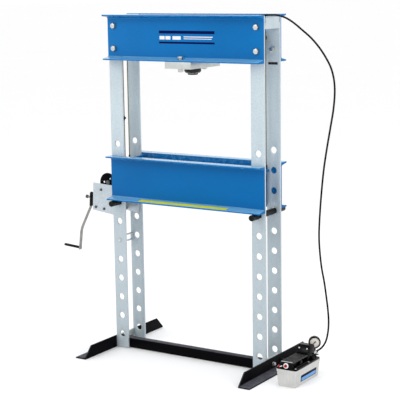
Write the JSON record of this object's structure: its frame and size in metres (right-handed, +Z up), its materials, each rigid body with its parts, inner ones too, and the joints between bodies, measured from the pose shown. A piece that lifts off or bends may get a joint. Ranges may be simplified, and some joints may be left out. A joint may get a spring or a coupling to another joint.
{
  "type": "hydraulic shop press",
  "caption": "Floor-standing H-frame hydraulic press: perforated legs, fixed channel head with ram, winch-lifted channel bed on pins, and an air-powered foot pump on a hose.",
  "frame": {"origin": "on the floor at the middle of the footprint; the ram's axis is 0.05 m to the right of it", "axes": "+X to the right along the press's width as seen from the front, +Y to the back, +Z up"},
  "size_m": [1.602, 0.711, 1.7584],
  "materials": {
    "blue_paint": "gloss enamel",
    "silver_paint": "satin silver enamel",
    "black_paint": "semi-gloss enamel",
    "zinc_plate": "bright zinc plated",
    "bare_steel": "machined",
    "chrome": "hard chrome, ground",
    "galvanised": "galvanised, spangled",
    "wire_rope": "stranded, oiled",
    "black_oxide": "black oxide, oiled",
    "hose_rubber": "smooth matt",
    "grip_rubber": "fine ribbed",
    "tank_plastic": "fine textured",
    "pump_black": "textured powder coat",
    "treadle_rubber": "raised grid pads",
    "red_anodised": "satin anodised",
    "gauge_case": "gloss, bright dial",
    "needle_paint": "matt"
  },
  "bodies": {
    "frame": {"upright_front_left": "silver_paint", "upright_front_right": "silver_paint", "upright_rear_left": "silver_paint", "upright_rear_right": "silver_paint", "head_channel_front": "blue_paint", "head_channel_rear": "blue_paint", "head_bolt_front_left_lower": "zinc_plate", "head_bolt_front_left_upper": "zinc_plate", "head_bolt_front_right_lower": "zinc_plate", "head_bolt_front_right_upper": "zinc_plate", "head_bolt_rear_left_lower": "zinc_plate", "head_bolt_rear_left_upper": "zinc_plate", "head_bolt_rear_right_lower": "zinc_plate", "head_bolt_rear_right_upper": "zinc_plate", "ram_plate": "bare_steel", "ram_plate_bolt_front": "zinc_plate", "ram_plate_bolt_rear": "zinc_plate", "top_spacer_left": "silver_paint", "top_spacer_right": "silver_paint", "foot_left": "black_paint", "base_spacer_left": "zinc_plate", "foot_right": "black_paint", "base_spacer_right": "zinc_plate", "crossbar": "black_paint", "cylinder_barrel": "black_paint", "cylinder_gland": "black_oxide", "hose_coupler": "zinc_plate", "return_spring": "bare_steel", "sheave_axle_left": "bare_steel", "sheave_axle_right": "bare_steel", "rope_left": "wire_rope", "rope_drop_left": "wire_rope", "rope_right": "wire_rope", "rope_drop_right": "wire_rope", "rope_guide": "black_paint", "drum_axle": "zinc_plate", "winch_frame": "galvanised", "pump_reservoir": "tank_plastic", "pump_body": "pump_black", "air_inlet": "red_anodised", "pump_outlet": "zinc_plate", "pressure_gauge": "gauge_case", "hose": "hose_rubber"},
    "bed": {"bed_channel_front": "blue_paint", "bed_channel_rear": "blue_paint", "bed_spacer_left": "blue_paint", "bed_spacer_right": "blue_paint"},
    "ram": {"ram_rod": "chrome", "ram_saddle": "black_oxide"},
    "pin_left": {"bed_pin_left": "black_oxide"},
    "pin_right": {"bed_pin_right": "black_oxide"},
    "drum": {"winch_drum": "black_paint"},
    "crank": {"crank_shaft": "zinc_plate", "crank_hub": "black_oxide", "crank_arm": "zinc_plate"},
    "grip": {"crank_grip": "grip_rubber"},
    "sheave_left": {"sheave_left": "zinc_plate"},
    "sheave_right": {"sheave_right": "zinc_plate"},
    "treadle": {"pump_treadle": "treadle_rubber"},
    "needle": {"gauge_needle": "needle_paint"}
  },
  "joints": [
    {"name": "bed_lift", "type": "slide", "parent": "frame", "child": "bed", "axis": [0, 0, 1], "range_m": [0, 0.3048], "deforming": ["rope_drop_left", "rope_drop_right"]},
    {"name": "ram_stroke", "type": "slide", "parent": "frame", "child": "ram", "axis": [0, 0, -1], "range_m": [0, 0.158], "stiffness_N_per_m": 600, "springref_m": -0.2, "deforming": ["return_spring"]},
    {"name": "pin_left_pull", "type": "slide", "parent": "frame", "child": "pin_left", "axis": [0, -1, 0], "range_m": [0, 0.26]},
    {"name": "pin_right_pull", "type": "slide", "parent": "frame", "child": "pin_right", "axis": [0, -1, 0], "range_m": [0, 0.26]},
    {"name": "drum_spin", "type": "hinge", "parent": "frame", "child": "drum", "pos_m": [-0.4525, 0, 0.88], "axis": [0, 1, 0], "range_deg": [0, 480]},
    {"name": "crank_spin", "type": "hinge", "parent": "frame", "child": "crank", "pos_m": [-0.4603, -0.0535, 0.78419], "axis": [0.9976, 0, -0.0698], "range_deg": [0, 1920]},
    {"name": "grip_spin", "type": "hinge", "parent": "crank", "child": "grip", "pos_m": [-0.70976, -0.0535, 0.51393], "axis": [0.9976, 0, -0.0698], "continuous": true},
    {"name": "sheave_left_spin", "type": "hinge", "parent": "frame", "child": "sheave_left", "pos_m": [-0.3985, 0.045, 1.6413], "axis": [0, 1, 0], "range_deg": [-1000, 0]},
    {"name": "sheave_right_spin", "type": "hinge", "parent": "frame", "child": "sheave_right", "pos_m": [0.423, 0.05, 1.6413], "axis": [0, 1, 0], "range_deg": [-1000, 0]},
    {"name": "treadle_rock", "type": "hinge", "parent": "frame", "child": "treadle", "pos_m": [0.701, -0.148, 0.121], "axis": [1, 0, 0], "range_deg": [-5, 5], "stiffness_Nm_per_rad": 4},
    {"name": "needle_sweep", "type": "hinge", "parent": "frame", "child": "needle", "pos_m": [0.718, 0.03, 0.1595], "axis": [-0.5, 0.866, 0], "range_deg": [0, 270], "stiffness_Nm_per_rad": 0.0005, "springref_deg": -17.19}
  ],
  "couplings": [
    {"joint": "drum_spin", "follows": "bed_lift", "rad_per_m": 27.397},
    {"joint": "crank_spin", "follows": "bed_lift", "rad_per_m": 109.59},
    {"joint": "sheave_left_spin", "follows": "bed_lift", "rad_per_m": -57.143},
    {"joint": "sheave_right_spin", "follows": "bed_lift", "rad_per_m": -57.143}
  ]
}
